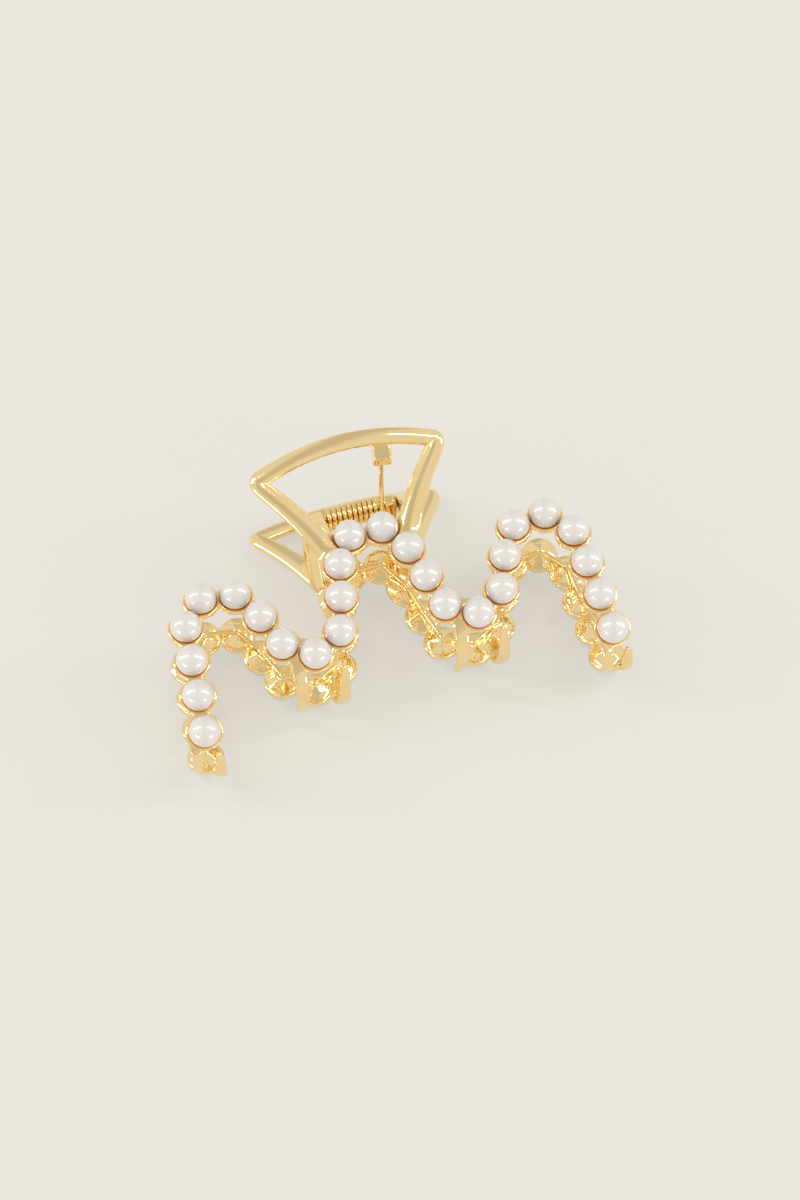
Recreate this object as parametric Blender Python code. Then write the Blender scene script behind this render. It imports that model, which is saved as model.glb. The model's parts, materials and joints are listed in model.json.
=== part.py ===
"""Pearl wave hair claw clip, lying on its back jaw with the jaws closed.

Two identical castings face each other across a hinge pin, and the second is the first turned end for
end about the clip's long centre line. The clip frame has +X along the hinge axis, +Y from the teeth
to the handles and +Z out of the front jaw, with its origin in the middle of the pin. One empty tilts
that frame so that the back jaw rests on the ground, and puts the origin under the middle of the clip.
"""

import math

import bmesh
import bpy
from mathutils import Matrix, Vector

MM = 0.001

# Driving dimensions, in millimetres in the clip frame.
PEARL_RADIUS = 3.0
PEARL_FLAT_DEPTH = 2.1
SEATS = 26

# The wave line of one half, as corners of straight runs, with the radius that rounds each corner.
WAVE_END = (39.5, -39.2)
OUTER_PEAK = (35.4, 8.7)
VALLEY = (14.3, -44.7)
CENTRE_PEAK = (0.0, 12.1)
OUTER_PEAK_RADIUS = 6.7
VALLEY_RADIUS = 6.4
CENTRE_PEAK_RADIUS = 6.4

# The jaw's side view is an arc: the pearl centres lie on it.
BOW_RADIUS = 70.0
BOW_CREST = (-20.4, 10.7)

CUP_RIM_DEPTH = 0.9
CUP_RIM_RADIUS = 3.5
CUP_WALL_DEPTH = 2.2
CUP_WALL_RADIUS = 3.4
CUP_TIP_DEPTH = 4.3
CUP_TIP_RADIUS = 0.7
POCKET_RADIUS = 3.15
POCKET_FLOOR_RADIUS = 2.2
POCKET_FLOOR_DEPTH = 2.5
POCKET_CLEARANCE_HEIGHT = 1.5
WEB_WIDTH = 3.4
WEB_DEPTH = 2.6
RAIL_WIDTH = 1.0
RAIL_DEPTH = 4.8

# Teeth of the front jaw: x at the root and at the tip, then the (y, z) corners that the side view curves between.
VALLEY_TOOTH = ((-31.6, 8.5), (-36.3, 8.2), (-36.5, -3.0), (-33.3, -7.5))
LEFT_END_TOOTH = ((-41.4, 5.6), (-43.2, 5.6), (-43.6, 1.0), (-42.1, -3.0))
RIGHT_END_TOOTH = ((-41.4, 5.6), (-44.2, 5.6), (-44.6, 0.5), (-42.4, -3.1))
TEETH = (
    (-41.8, -41.9, LEFT_END_TOOTH),
    (-19.5, -19.8, VALLEY_TOOTH),
    (12.0, 11.1, VALLEY_TOOTH),
    (37.6, 37.6, RIGHT_END_TOOTH),
)
TOOTH_ROOT_SIZE = (2.8, 1.6)
TOOTH_TIP_SIZE = (1.6, 1.3)

# Handle loop: the centre line of one leg from its foot to the corner, and of the bar to its middle.
LEG_FOOT = (6.8, -12.6, 8.2)
LEG_WAIST = (9.3, -5.7, 9.7)
LEG_TOP = (14.8, 1.2, 11.5)
HANDLE_CORNER = (18.0, 5.2, 12.7)
BAR_MIDDLE = (0.0, 8.0, 15.3)
FOOT_SIZE = (4.8, 2.0)
BAR_SIZE = (3.3, 2.4)

PIN_RADIUS = 0.75
PIN_HEAD_RADIUS = 1.2
PIN_HEAD_LENGTH = 0.6
PIN_HALF_LENGTH = 10.95
RUNNING_GAP = 0.3

EYE_RADIUS = 1.9
INNER_EAR_X = (-8.1, -6.0)
OUTER_EAR_X = (8.4, 10.6)
INNER_EAR_BASE = ((-13.5, 8.0), (-8.8, 8.9))
OUTER_EAR_BASE = ((-10.5, 8.8), (-4.6, 9.8))

WIRE_RADIUS = 0.45
COIL_RADIUS = 1.95
COIL_END_X = 5.15
COIL_WHOLE_TURNS_EACH_SIDE = 5
LEG_TIP = (6.6, 4.5, 12.6)
LEG_HOLE_LENGTH = 3.2

LUG_CENTRE = (6.8, 4.9, 12.7)
LUG_SIZE = (3.6, 3.8, 3.0)
LUG_TURN = math.radians(-8)

CUP_SIDES = 8
PEARL_SIDES = 8
WIRE_SIDES = 5


# ---- The wave line ----


def rounded_line(corners, radii):
    """Straight runs and arcs along the corners, each as (length, function of the distance along it)."""
    pieces = []
    start = Vector(corners[0])
    for before, corner, after, radius in zip(corners, corners[1:], corners[2:], radii):
        back = (Vector(before) - Vector(corner)).normalized()
        ahead = (Vector(after) - Vector(corner)).normalized()
        half_angle = back.angle(ahead) / 2
        run = radius / math.tan(half_angle)
        first = Vector(corner) + back * run
        last = Vector(corner) + ahead * run
        centre = Vector(corner) + (back + ahead).normalized() * radius / math.sin(half_angle)
        pieces.append(straight_piece(start, first))
        pieces.append(arc_piece(centre, first - centre, last - centre))
        start = last
    pieces.append(straight_piece(start, Vector(corners[-1])))
    return pieces


def straight_piece(start, end):
    length = (end - start).length
    return length, lambda distance: start + (end - start) * distance / length


def arc_piece(centre, first, last):
    sweep = first.angle_signed(last)
    length = abs(sweep) * first.length

    def point(distance):
        return centre + Matrix.Rotation(-sweep * distance / length, 2) @ first

    return length, point


def point_along(pieces, distance):
    for length, point in pieces[:-1]:
        if distance <= length:
            return point(distance)
        distance -= length
    return pieces[-1][1](distance)


def seat_points():
    """Plan positions of the pearls, evenly spaced along the wave from its left end to its right end."""
    mirrored_valley = (-VALLEY[0], VALLEY[1])
    corners = (WAVE_END, OUTER_PEAK, VALLEY, CENTRE_PEAK, mirrored_valley)
    pieces = rounded_line(corners, (OUTER_PEAK_RADIUS, VALLEY_RADIUS, CENTRE_PEAK_RADIUS))
    to_middle = sum(length for length, _ in pieces[:5]) + pieces[5][0] / 2
    spacing = to_middle / ((SEATS - 1) / 2)
    right_half = [point_along(pieces, spacing * index) for index in range(SEATS // 2)]
    left_half = [Vector((-point.x, point.y)) for point in right_half]
    return left_half + right_half[::-1]


def bowed(point):
    """Puts a plan point on the jaw's bow: its place, and the outward direction there."""
    across = point[1] - BOW_CREST[0]
    centre_z = BOW_CREST[1] - BOW_RADIUS
    height = math.sqrt(BOW_RADIUS**2 - across**2)
    place = Vector((point[0], point[1], centre_z + height))
    outward = Vector((0, across, height)).normalized()
    return place, outward


# ---- Meshes ----


def mesh_from(points, faces, name):
    """A mesh in metres from millimetre points, with its faces turned outward."""
    mesh = bpy.data.meshes.new(name)
    mesh.from_pydata([Vector(point) * MM for point in points], [], faces)
    shape = bmesh.new()
    shape.from_mesh(mesh)
    bmesh.ops.recalc_face_normals(shape, faces=shape.faces)
    shape.to_mesh(mesh)
    shape.free()
    return mesh


def lofted(rings, name):
    """A closed mesh through rings that have equal counts of points."""
    sides = len(rings[0])
    points = [point for ring in rings for point in ring]
    faces = [tuple(range(sides)), tuple(range(len(points) - sides, len(points)))]
    for ring in range(len(rings) - 1):
        for side in range(sides):
            a = ring * sides + side
            b = ring * sides + (side + 1) % sides
            faces.append((a, b, b + sides, a + sides))
    return mesh_from(points, faces, name)


def turned(outline, place, outward, sides, name):
    """A mesh of revolution about outward through place, from (radius, height) pairs."""
    across = Vector((1, 0, 0))
    along = outward.cross(across)
    rings = []
    for radius, height in outline:
        ring = []
        for side in range(sides):
            angle = 2 * math.pi * (side + 0.5) / sides
            spoke = across * math.cos(angle) + along * math.sin(angle)
            ring.append(place + outward * height + spoke * radius)
        rings.append(ring)
    return lofted(rings, name)


def block(start, end, outward, width, top, bottom, name):
    """A bar with a rectangular section from start to end, between two depths under the rim line."""
    run = (end - start).normalized()
    side = run.cross(outward).normalized() * width / 2
    up = side.cross(run).normalized()
    corners = [side - up * top, side - up * bottom, -side - up * bottom, -side - up * top]
    return lofted([[start + corner for corner in corners], [end + corner for corner in corners]], name)


def oval_sweep(points, sizes, facing, sides, name):
    """An oval bar along points: sizes are (width, thickness), and facing(index) the thickness way."""
    rings = []
    for index, point in enumerate(points):
        run = points[min(index + 1, len(points) - 1)] - points[max(index - 1, 0)]
        side = run.cross(facing(index)).normalized()
        up = side.cross(run).normalized()
        width, thickness = sizes[index]
        ring = []
        for step in range(sides):
            angle = 2 * math.pi * (step + 0.5) / sides
            ring.append(point + side * math.cos(angle) * width / 2 + up * math.sin(angle) * thickness / 2)
        rings.append(ring)
    return lofted(rings, name)


def hull_of(points, name):
    mesh = bpy.data.meshes.new(name)
    shape = bmesh.new()
    for point in points:
        shape.verts.new(Vector(point) * MM)
    bmesh.ops.convex_hull(shape, input=shape.verts)
    bmesh.ops.dissolve_limit(shape, angle_limit=0.001, verts=shape.verts, edges=shape.edges)
    bmesh.ops.recalc_face_normals(shape, faces=shape.faces)
    shape.to_mesh(mesh)
    shape.free()
    return mesh


def bezier(start, bend, end, steps):
    """Points on the curve from start to end that leans towards bend."""
    points = []
    for step in range(steps + 1):
        t = step / steps
        points.append(start * (1 - t) ** 2 + bend * 2 * t * (1 - t) + end * t**2)
    return points


# ---- The shapes of one casting ----


def cup(place, outward, index):
    outline = (
        (CUP_RIM_RADIUS, -CUP_RIM_DEPTH),
        (CUP_WALL_RADIUS, -CUP_WALL_DEPTH),
        (CUP_TIP_RADIUS, -CUP_TIP_DEPTH),
    )
    return turned(outline, place, outward, CUP_SIDES, f"cup_{index:02d}")


def pocket(place, outward, index):
    slope = (POCKET_RADIUS - POCKET_FLOOR_RADIUS) / (POCKET_FLOOR_DEPTH - CUP_RIM_DEPTH)
    above = POCKET_CLEARANCE_HEIGHT
    outline = (
        (POCKET_RADIUS + slope * above, above - CUP_RIM_DEPTH),
        (POCKET_FLOOR_RADIUS, -POCKET_FLOOR_DEPTH),
    )
    return turned(outline, place, outward, CUP_SIDES, f"pocket_{index:02d}")


def tooth(root_x, tip_x, side_view, index):
    steps = 7
    points, sizes = [], []
    for step in range(steps + 1):
        t = step / steps
        shares = ((1 - t) ** 3, 3 * t * (1 - t) ** 2, 3 * t**2 * (1 - t), t**3)
        y, z = [sum(share * corner[axis] for share, corner in zip(shares, side_view)) for axis in (0, 1)]
        points.append(Vector((root_x + (tip_x - root_x) * t, y, z)))
        sizes.append([a + (b - a) * t for a, b in zip(TOOTH_ROOT_SIZE, TOOTH_TIP_SIZE)])
    return oval_sweep(points, sizes, lambda index: across_run(points, index), 8, f"tooth_{index}")


def across_run(points, index):
    """The way square to a side-view curve, in the plane of y and z."""
    run = points[min(index + 1, len(points) - 1)] - points[max(index - 1, 0)]
    return Vector((0, -run.z, run.y))


def handle():
    """The handle loop's two legs and bar as one bar that runs from foot to foot."""
    right = bezier(Vector(LEG_FOOT), Vector(LEG_WAIST), Vector(LEG_TOP), 3)
    corner = Vector(HANDLE_CORNER)
    # The bar bows along a circle through its two ends and its middle.
    middle = Vector(BAR_MIDDLE)
    bow = middle - Vector((0, corner.y, corner.z))
    bar = []
    for t in (0.88, 0.66, 0.44, 0.22):
        bar.append(Vector((corner.x * t, 0, 0)) + middle - Vector((0, bow.y, bow.z)) * t**2)
    half = right + [corner] + bar
    mirrored = [Vector((-point.x, point.y, point.z)) for point in half]
    points = half + [middle] + mirrored[::-1]
    leg_sizes = []
    for step in range(len(right)):
        t = step / len(right)
        leg_sizes.append([a + (b - a) * t for a, b in zip(FOOT_SIZE, BAR_SIZE)])
    half_sizes = leg_sizes + [BAR_SIZE] * (len(half) - len(right))
    sizes = half_sizes + [BAR_SIZE] + half_sizes[::-1]
    return oval_sweep(points, sizes, lambda _: Vector((0, -0.2, 1)), 8, "handle")


def ear(x_range, base, name):
    points = []
    for x in x_range:
        points += [(x, y, z) for y, z in base]
        for step in range(12):
            angle = 2 * math.pi * (step + 0.5) / 12
            points.append((x, EYE_RADIUS * math.cos(angle), EYE_RADIUS * math.sin(angle)))
    return hull_of(points, name)


def lug():
    half = Vector(LUG_SIZE) / 2
    turn = Matrix.Rotation(LUG_TURN, 3, "Z")
    points = []
    for sx in (-1, 1):
        for sy in (-1, 1):
            for sz in (-1, 1):
                corner = Vector((sx * half.x, sy * half.y, sz * half.z))
                points.append(Vector(LUG_CENTRE) + turn @ corner)
    return hull_of(points, "lug")


def rod(start, end, radius, sides, name):
    run = (end - start).normalized()
    helper = Vector((0, 0, 1)) if abs(run.z) < 0.9 else Vector((0, 1, 0))
    side = run.cross(helper).normalized()
    up = side.cross(run)
    rings = []
    for point in (start, end):
        ring = []
        for step in range(sides):
            angle = 2 * math.pi * step / sides
            ring.append(point + (side * math.cos(angle) + up * math.sin(angle)) * radius)
        rings.append(ring)
    return lofted(rings, name)


def casting_shapes(seats):
    """Every shape that the casting is the sum of, apart from its handle."""
    shapes = []
    for index, (place, outward) in enumerate(seats):
        shapes.append(cup(place, outward, index))
    for index, (first, second) in enumerate(zip(seats, seats[1:])):
        outward = (first[1] + second[1]).normalized()
        ends = (first[0], second[0])
        shapes.append(block(*ends, outward, WEB_WIDTH, CUP_RIM_DEPTH + 0.05, WEB_DEPTH, f"web_{index:02d}"))
        shapes.append(block(*ends, outward, RAIL_WIDTH, WEB_DEPTH - 0.4, RAIL_DEPTH, f"rail_{index:02d}"))
    for index, (root_x, tip_x, side_view) in enumerate(TEETH):
        shapes.append(tooth(root_x, tip_x, side_view, index))
    shapes.append(ear(INNER_EAR_X, INNER_EAR_BASE, "inner_ear"))
    shapes.append(ear(OUTER_EAR_X, OUTER_EAR_BASE, "outer_ear"))
    shapes.append(lug())
    return shapes


def casting_hollows(seats):
    """Every shape that is cut from the casting."""
    hollows = [pocket(place, outward, index) for index, (place, outward) in enumerate(seats)]
    for name, (low, high) in (("inner_bore", INNER_EAR_X), ("outer_bore", OUTER_EAR_X)):
        ends = (Vector((low - 1, 0, 0)), Vector((high + 1, 0, 0)))
        hollows.append(rod(*ends, PIN_RADIUS + RUNNING_GAP, 12, name))
    start, tip = spring_leg_ends()
    run = (tip - start).normalized()
    ends = (tip - run * LEG_HOLE_LENGTH, tip + run * RUNNING_GAP)
    hollows.append(rod(*ends, WIRE_RADIUS + RUNNING_GAP, 8, "leg_hole"))
    return hollows


def collection_of(meshes, name):
    """Helper objects for a Boolean, in a collection of their own, left out of the part."""
    group = bpy.data.collections.new(name)
    bpy.context.scene.collection.children.link(group)
    for mesh in meshes:
        helper = bpy.data.objects.new(mesh.name, mesh)
        helper.hide_render = True
        helper.display_type = "WIRE"
        group.objects.link(helper)
    return group


def casting_mesh(seats):
    """One jaw as a single mesh: its shapes joined, then its pockets and holes cut."""
    body = bpy.data.objects.new("casting", handle())
    bpy.context.scene.collection.objects.link(body)
    steps = (("UNION", casting_shapes(seats)), ("DIFFERENCE", casting_hollows(seats)))
    groups = []
    for operation, meshes in steps:
        groups.append(collection_of(meshes, operation.lower()))
        boolean = body.modifiers.new(operation.lower(), "BOOLEAN")
        boolean.operation = operation
        boolean.operand_type = "COLLECTION"
        boolean.solver = "EXACT"
        boolean.collection = groups[-1]
    bpy.context.view_layer.update()
    evaluated = body.evaluated_get(bpy.context.evaluated_depsgraph_get())
    mesh = bpy.data.meshes.new_from_object(evaluated)
    mesh.name = "jaw_casting"
    bpy.data.objects.remove(body)
    for group in groups:
        for helper in list(group.objects):
            bpy.data.objects.remove(helper)
        bpy.data.collections.remove(group)
    return mesh


# ---- The other pieces ----


def pearl_mesh():
    """A pearl on its centre, with +Z outward and the flat back that sits in the cup."""
    outline = [(math.sqrt(PEARL_RADIUS**2 - PEARL_FLAT_DEPTH**2), -PEARL_FLAT_DEPTH)]
    for degrees in (-8, 32):
        angle = math.radians(degrees)
        outline.append((PEARL_RADIUS * math.cos(angle), PEARL_RADIUS * math.sin(angle)))
    outline.append((PEARL_RADIUS * 0.33, PEARL_RADIUS))
    return turned(outline, Vector((0, 0, 0)), Vector((0, 0, 1)), PEARL_SIDES, "pearl")


def pin_mesh():
    """The pin, peened over at both ends outside the outer ears."""
    outline = (
        (PIN_HEAD_RADIUS, -PIN_HALF_LENGTH - PIN_HEAD_LENGTH),
        (PIN_HEAD_RADIUS, -PIN_HALF_LENGTH),
        (PIN_RADIUS, -PIN_HALF_LENGTH),
        (PIN_RADIUS, PIN_HALF_LENGTH),
        (PIN_HEAD_RADIUS, PIN_HALF_LENGTH),
        (PIN_HEAD_RADIUS, PIN_HALF_LENGTH + PIN_HEAD_LENGTH),
    )
    rings = []
    for radius, x in outline:
        ring = []
        for step in range(12):
            angle = 2 * math.pi * step / 12
            ring.append(Vector((x, radius * math.cos(angle), radius * math.sin(angle))))
        rings.append(ring)
    return lofted(rings, "pin")


def coil_end_angle():
    """Where on the coil the front leg leaves it, so that the leg runs on as its tangent."""
    to_tip = Vector((LEG_TIP[1], LEG_TIP[2]))
    lean = math.asin(COIL_RADIUS / to_tip.length)
    direction = math.atan2(to_tip.y, to_tip.x) + lean
    return direction + math.pi / 2 - 2 * lean


def spring_leg_ends():
    """The front leg's start on the coil and its tip in the lug."""
    angle = coil_end_angle()
    start = Vector((COIL_END_X, COIL_RADIUS * math.cos(angle), COIL_RADIUS * math.sin(angle)))
    return start, Vector(LEG_TIP)


def spring_mesh():
    """The whole wire: back leg, coil, front leg. Turned end for end, the wire is the same."""
    half_turn = math.pi - coil_end_angle() + 2 * math.pi * COIL_WHOLE_TURNS_EACH_SIDE
    steps = 40
    front = []
    for step in range(steps + 1):
        part = step / steps
        angle = math.pi - half_turn * part
        front.append(Vector((COIL_END_X * part, COIL_RADIUS * math.cos(angle), COIL_RADIUS * math.sin(angle))))
    start, tip = spring_leg_ends()
    front += [start + (tip - start) * part for part in (0.08, 0.5, 1.0)]
    back = [Vector((-point.x, point.y, -point.z)) for point in front[:0:-1]]
    points = back + front
    sizes = [(2 * WIRE_RADIUS, 2 * WIRE_RADIUS)] * len(points)
    outer = [Vector((0, point.y, point.z)) for point in points]
    return oval_sweep(points, sizes, lambda index: outer[index], WIRE_SIDES, "spring_wire")


# ---- Materials and placing ----


def material(name, colour, metallic, roughness):
    made = bpy.data.materials.new(name)
    made.use_nodes = True
    shader = made.node_tree.nodes["Principled BSDF"]
    shader.inputs["Base Color"].default_value = (*colour, 1)
    shader.inputs["Metallic"].default_value = metallic
    shader.inputs["Roughness"].default_value = roughness
    return made


def piece(name, mesh, parent, finish):
    made = bpy.data.objects.new(name, mesh)
    bpy.context.scene.collection.objects.link(made)
    made.parent = parent
    made.data.materials.clear()
    made.data.materials.append(finish)
    return made


def turned_over(made):
    """Turns a piece end for end, which is how the back jaw faces the front one."""
    made.rotation_euler = (0, math.pi, 0)
    return made


def set_pearls(jaw, seats, prefix, mesh, finish):
    for index, (place, outward) in enumerate(seats):
        pearl = piece(f"{prefix}_pearl_{index + 1:02d}", mesh, jaw, finish)
        pearl.location = place * MM
        pearl.rotation_euler = outward.to_track_quat("Z", "Y").to_euler()


def lie_tilt():
    """The clip's tilt on flat ground, where the back handle's bar and the back pearls both touch."""
    bar = Vector((BAR_MIDDLE[1], -BAR_MIDDLE[2] - BAR_SIZE[1] / 2))
    bow_centre = Vector((BOW_CREST[0], BOW_RADIUS - BOW_CREST[1]))
    to_centre = bow_centre - bar
    to_tangent = math.asin((BOW_RADIUS + PEARL_RADIUS) / to_centre.length)
    return math.atan2(to_centre.y, -to_centre.x) - to_tangent


def stand_on_ground(frame, pieces):
    """Shifts the frame so that the origin is under the middle of the clip, at its lowest point."""
    bpy.context.view_layer.update()
    corners = [made.matrix_world @ vertex.co for made in pieces for vertex in made.data.vertices]
    low = Vector([min(corner[axis] for corner in corners) for axis in range(3)])
    high = Vector([max(corner[axis] for corner in corners) for axis in range(3)])
    frame.location = (-(low.x + high.x) / 2, -(low.y + high.y) / 2, -low.z)


def build():
    for leftover in list(bpy.data.objects):
        bpy.data.objects.remove(leftover, do_unlink=True)
    gold = material("gilt_casting", (0.93, 0.76, 0.42), 1.0, 0.15)
    gilt_steel = material("gilt_steel", (0.90, 0.70, 0.36), 1.0, 0.2)
    nacre = material("pearl_nacre", (0.93, 0.89, 0.86), 0.0, 0.15)
    frame = bpy.data.objects.new("clip_frame", None)
    bpy.context.scene.collection.objects.link(frame)
    frame.rotation_euler = (lie_tilt(), 0, 0)

    seats = [bowed(point) for point in seat_points()]
    casting = casting_mesh(seats)
    front_jaw = piece("front_jaw", casting, frame, gold)
    back_jaw = turned_over(piece("back_jaw", casting, frame, gold))
    piece("hinge_pin", pin_mesh(), frame, gilt_steel)
    piece("torsion_spring", spring_mesh(), frame, gilt_steel)
    pearl = pearl_mesh()
    set_pearls(front_jaw, seats, "front", pearl, nacre)
    set_pearls(back_jaw, seats, "back", pearl, nacre)

    pieces = [made for made in bpy.data.objects if made.type == "MESH"]
    for made in pieces:
        made.data.shade_smooth()
        made.data.set_sharp_from_angle(angle=math.radians(40))
    stand_on_ground(frame, pieces)


build()
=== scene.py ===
"""Looks of the pearl wave hair claw clip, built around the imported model.

The two castings are one fine mesh, made from a distance field that joins smooth shapes, as the metal runs
together in the real casting. The spring wire, the pin and the pearls are swept and turned meshes.
Shapes are in millimetres in the clip frame: +X along the hinge pin, +Y from the teeth to the handles and
+Z out of the front jaw, with the origin in the middle of the pin.
"""

import json
import math

import bpy
import numpy as np
from mathutils import Matrix, Vector


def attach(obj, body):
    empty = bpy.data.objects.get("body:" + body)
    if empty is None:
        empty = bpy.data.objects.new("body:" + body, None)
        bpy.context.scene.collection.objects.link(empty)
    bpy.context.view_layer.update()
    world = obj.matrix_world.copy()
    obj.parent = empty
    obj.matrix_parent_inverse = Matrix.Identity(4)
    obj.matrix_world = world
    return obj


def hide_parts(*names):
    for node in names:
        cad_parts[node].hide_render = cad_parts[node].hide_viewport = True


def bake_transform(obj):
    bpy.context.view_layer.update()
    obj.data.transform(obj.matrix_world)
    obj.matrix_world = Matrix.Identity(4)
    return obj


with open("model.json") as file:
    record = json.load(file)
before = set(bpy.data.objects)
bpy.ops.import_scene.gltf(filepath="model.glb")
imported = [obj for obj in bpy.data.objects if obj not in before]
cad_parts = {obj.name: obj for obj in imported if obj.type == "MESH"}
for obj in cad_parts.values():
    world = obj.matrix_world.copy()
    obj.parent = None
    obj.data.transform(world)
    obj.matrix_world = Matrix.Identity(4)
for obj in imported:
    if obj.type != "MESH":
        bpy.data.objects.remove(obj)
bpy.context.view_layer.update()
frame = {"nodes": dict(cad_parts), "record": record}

MM = 0.001

# ---- Dimensions of the casting, in millimetres ----

PEARLS_PER_JAW = 26
PEARL_RADIUS = 3.0
PEARL_FLAT_DEPTH = 2.1

# Heights and depths are measured from the pearls' centres, along the jaw's bow.
PLATE_TOP = -0.9
PLATE_BOTTOM = -2.2
PLATE_MIDDLE = (PLATE_TOP + PLATE_BOTTOM) / 2
PLATE_HALF = (PLATE_TOP - PLATE_BOTTOM) / 2
PLATE_ROUND = 0.32
RIM_RADIUS = 3.5
WEB_HALF_WIDTH = 1.3
WEB_FILLET = 1.0
OUTLET_FILLET = 0.9
CONE_RADIUS = 3.3
CONE_TOP = PLATE_BOTTOM + 0.3
CONE_TIP_DEPTH = 4.3
CONE_BULGE = 0.35
CONE_FILLET = 0.3
# How fast the facets grow with depth, per millimetre.
FACET_ONSET = 1.2
DENT_DEPTH = 0.035
DENT_LENGTH = 2.1
DENT_SEED = 7
RAIL_HALF_WIDTH = 0.45
RAIL_TOP = PLATE_BOTTOM + 0.4
RAIL_DEPTH = 4.75
RAIL_ROUND = 0.25
RAIL_FILLET = 0.5
POCKET_RADIUS = 3.025
POCKET_MOUTH_RADIUS = 3.02
POCKET_MOUTH_TAPER = 0.7
POCKET_FLOOR_DEPTH = 2.16
POCKET_FILLET = 0.26

# A slanted wall's field is scaled by about the cosine of its slant, so that it is nearly a true distance.
CONE_SCALE = 0.62
POCKET_MOUTH_SCALE = 0.82

# Teeth: x at the root, x at the tip, and the four (y, z) control points of the curve seen from the side.
VALLEY_TOOTH = ((-31.6, 8.5), (-36.3, 8.2), (-36.5, -3.0), (-33.3, -7.5))
LEFT_END_TOOTH = ((-41.4, 5.6), (-43.2, 5.6), (-43.6, 1.0), (-42.1, -3.0))
RIGHT_END_TOOTH = ((-41.4, 5.6), (-44.2, 5.6), (-44.6, 0.5), (-42.4, -3.1))
TEETH = (
    (-41.8, -41.9, LEFT_END_TOOTH),
    (-19.5, -19.8, VALLEY_TOOTH),
    (12.0, 11.1, VALLEY_TOOTH),
    (37.6, 37.6, RIGHT_END_TOOTH),
)
# Half widths: where the tooth's web starts, at the root, and at the tip.
VALLEY_TOOTH_WIDTHS = (2.3, 1.45, 0.8)
END_TOOTH_WIDTHS = (3.0, 1.15, 0.85)
# How far before the root a tooth's middle line still lies in the plate.
TOOTH_LEAD_IN = (3.0, 1.5, 0.4)
TOOTH_TAPER_POWER = 1.6
TOOTH_END_START = 0.88
TOOTH_END_NARROWING = 0.5
TOOTH_TIP_HALF_THICK = 0.6
TOOTH_ROOT_EXTRA_THICK = 0.1
TOOTH_ROUND = 0.55
TOOTH_FILLET = 0.35

# The middle line of the handle's leg: its foot, the point that it leans towards, and its upper end.
LEG_POINTS = ((6.8, -12.6, 8.2), (9.3, -5.7, 9.7), (14.8, 1.2, 11.5))
HANDLE_CORNER = (18.0, 5.2, 12.7)
BAR_MIDDLE = (0.0, 8.0, 15.3)
# Places along the bar, as shares of the way from its middle to the corner.
BAR_PLACES = (0.9, 0.68, 0.45, 0.22, 0.0)
# Width and thickness of the leg's foot and of the bar.
FOOT_SIZE = (4.8, 2.0)
BAR_SIZE = (3.3, 2.4)
HANDLE_OUTWARD = Vector((0, -0.2, 1))
HANDLE_FLATTENING = 1.25
HANDLE_FILLET = 1.4

BORE_RADIUS = 1.05
BORE_FILLET = 0.2
EYE_RADIUS = 1.9
EAR_ROUND = 0.35
EAR_FILLET = 0.9
EAR_UNDER_LEG = 0.7
INNER_EAR_X = (-8.1, -6.0)
OUTER_EAR_X = (8.4, 10.6)
INNER_EAR_BASE = ((-13.5, 8.0), (-8.8, 8.9))
OUTER_EAR_BASE = ((-10.5, 8.8), (-4.6, 9.8))

LUG_CENTRE = (6.8, 4.9, 12.7)
LUG_SIZE = (3.6, 3.8, 3.0)
LUG_TURN = math.radians(-8)
LUG_ROUND = 0.45
LUG_FILLET = 0.6

# ---- Dimensions of the steel parts, in millimetres ----

PIN_RADIUS = 0.75
PIN_HEAD_RADIUS = 1.2
PIN_HEAD_LENGTH = 0.6
PIN_HALF_LENGTH = 10.95
WIRE_RADIUS = 0.45
COIL_RADIUS = 1.95
COIL_END_X = 5.15
COIL_WHOLE_TURNS_EACH_SIDE = 5
LEG_TIP = (6.6, 4.5, 12.6)
LEG_HOLE_LENGTH = 3.2
LEG_HOLE_PAST_TIP = 0.3
LEG_HOLE_RADIUS = 0.72
LEG_HOLE_FILLET = 0.15

# ---- How finely the casting is worked out, in millimetres ----

GRID_STEP = 0.2
# The field's value where no shape is near.
FAR = 2.0
SETTLING_ROUNDS = 3
# A shape is worked out only in a box round it. A seat's and a pocket's box is given by its middle's depth
# and its half size, the ears' boxes by their corners in y and z, and the others by a margin.
SEAT_BOX_DEPTH = 2.7
SEAT_BOX = np.array([5.3, 5.6, 3.8])
POCKET_BOX_DEPTH = 1.2
POCKET_BOX = np.array([4.0, 4.2, 2.6])
TOOTH_MARGINS = np.array([3.5, 1.6, 1.6])
HANDLE_MARGIN = 2.4
EAR_BOX_LOW = (-15.5, -2.6)
EAR_BOX_HIGH = (2.6, 12.8)
BORE_BOX_HALF = 1.7
LEG_HOLE_MARGIN = 1.2


# ---- The clip frame and the seats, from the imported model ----


def node_points(name):
    """A CAD node's own points, each once, in metres in the row frame."""
    points = np.array([vertex.co for vertex in frame["nodes"][name].data.vertices])
    return np.unique(np.round(points, 7), axis=0)


def clip_frame():
    """The matrix from the clip frame to the row frame, both in metres."""
    joint = frame["record"]["behaviour"]["joints"][0]
    along = -Vector(joint["axis"]).normalized()
    front_end = Vector(node_points("front_pearl_01").mean(axis=0))
    back_end = Vector(node_points(f"back_pearl_{PEARLS_PER_JAW:02d}").mean(axis=0))
    out = (front_end - back_end).normalized()
    up = out.cross(along)
    place = Matrix((along, up, out)).transposed().to_4x4()
    return Matrix.Translation(Vector(joint["pos_m"])) @ place


CLIP = clip_frame()
INTO_CLIP = np.array(CLIP.inverted())


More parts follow.
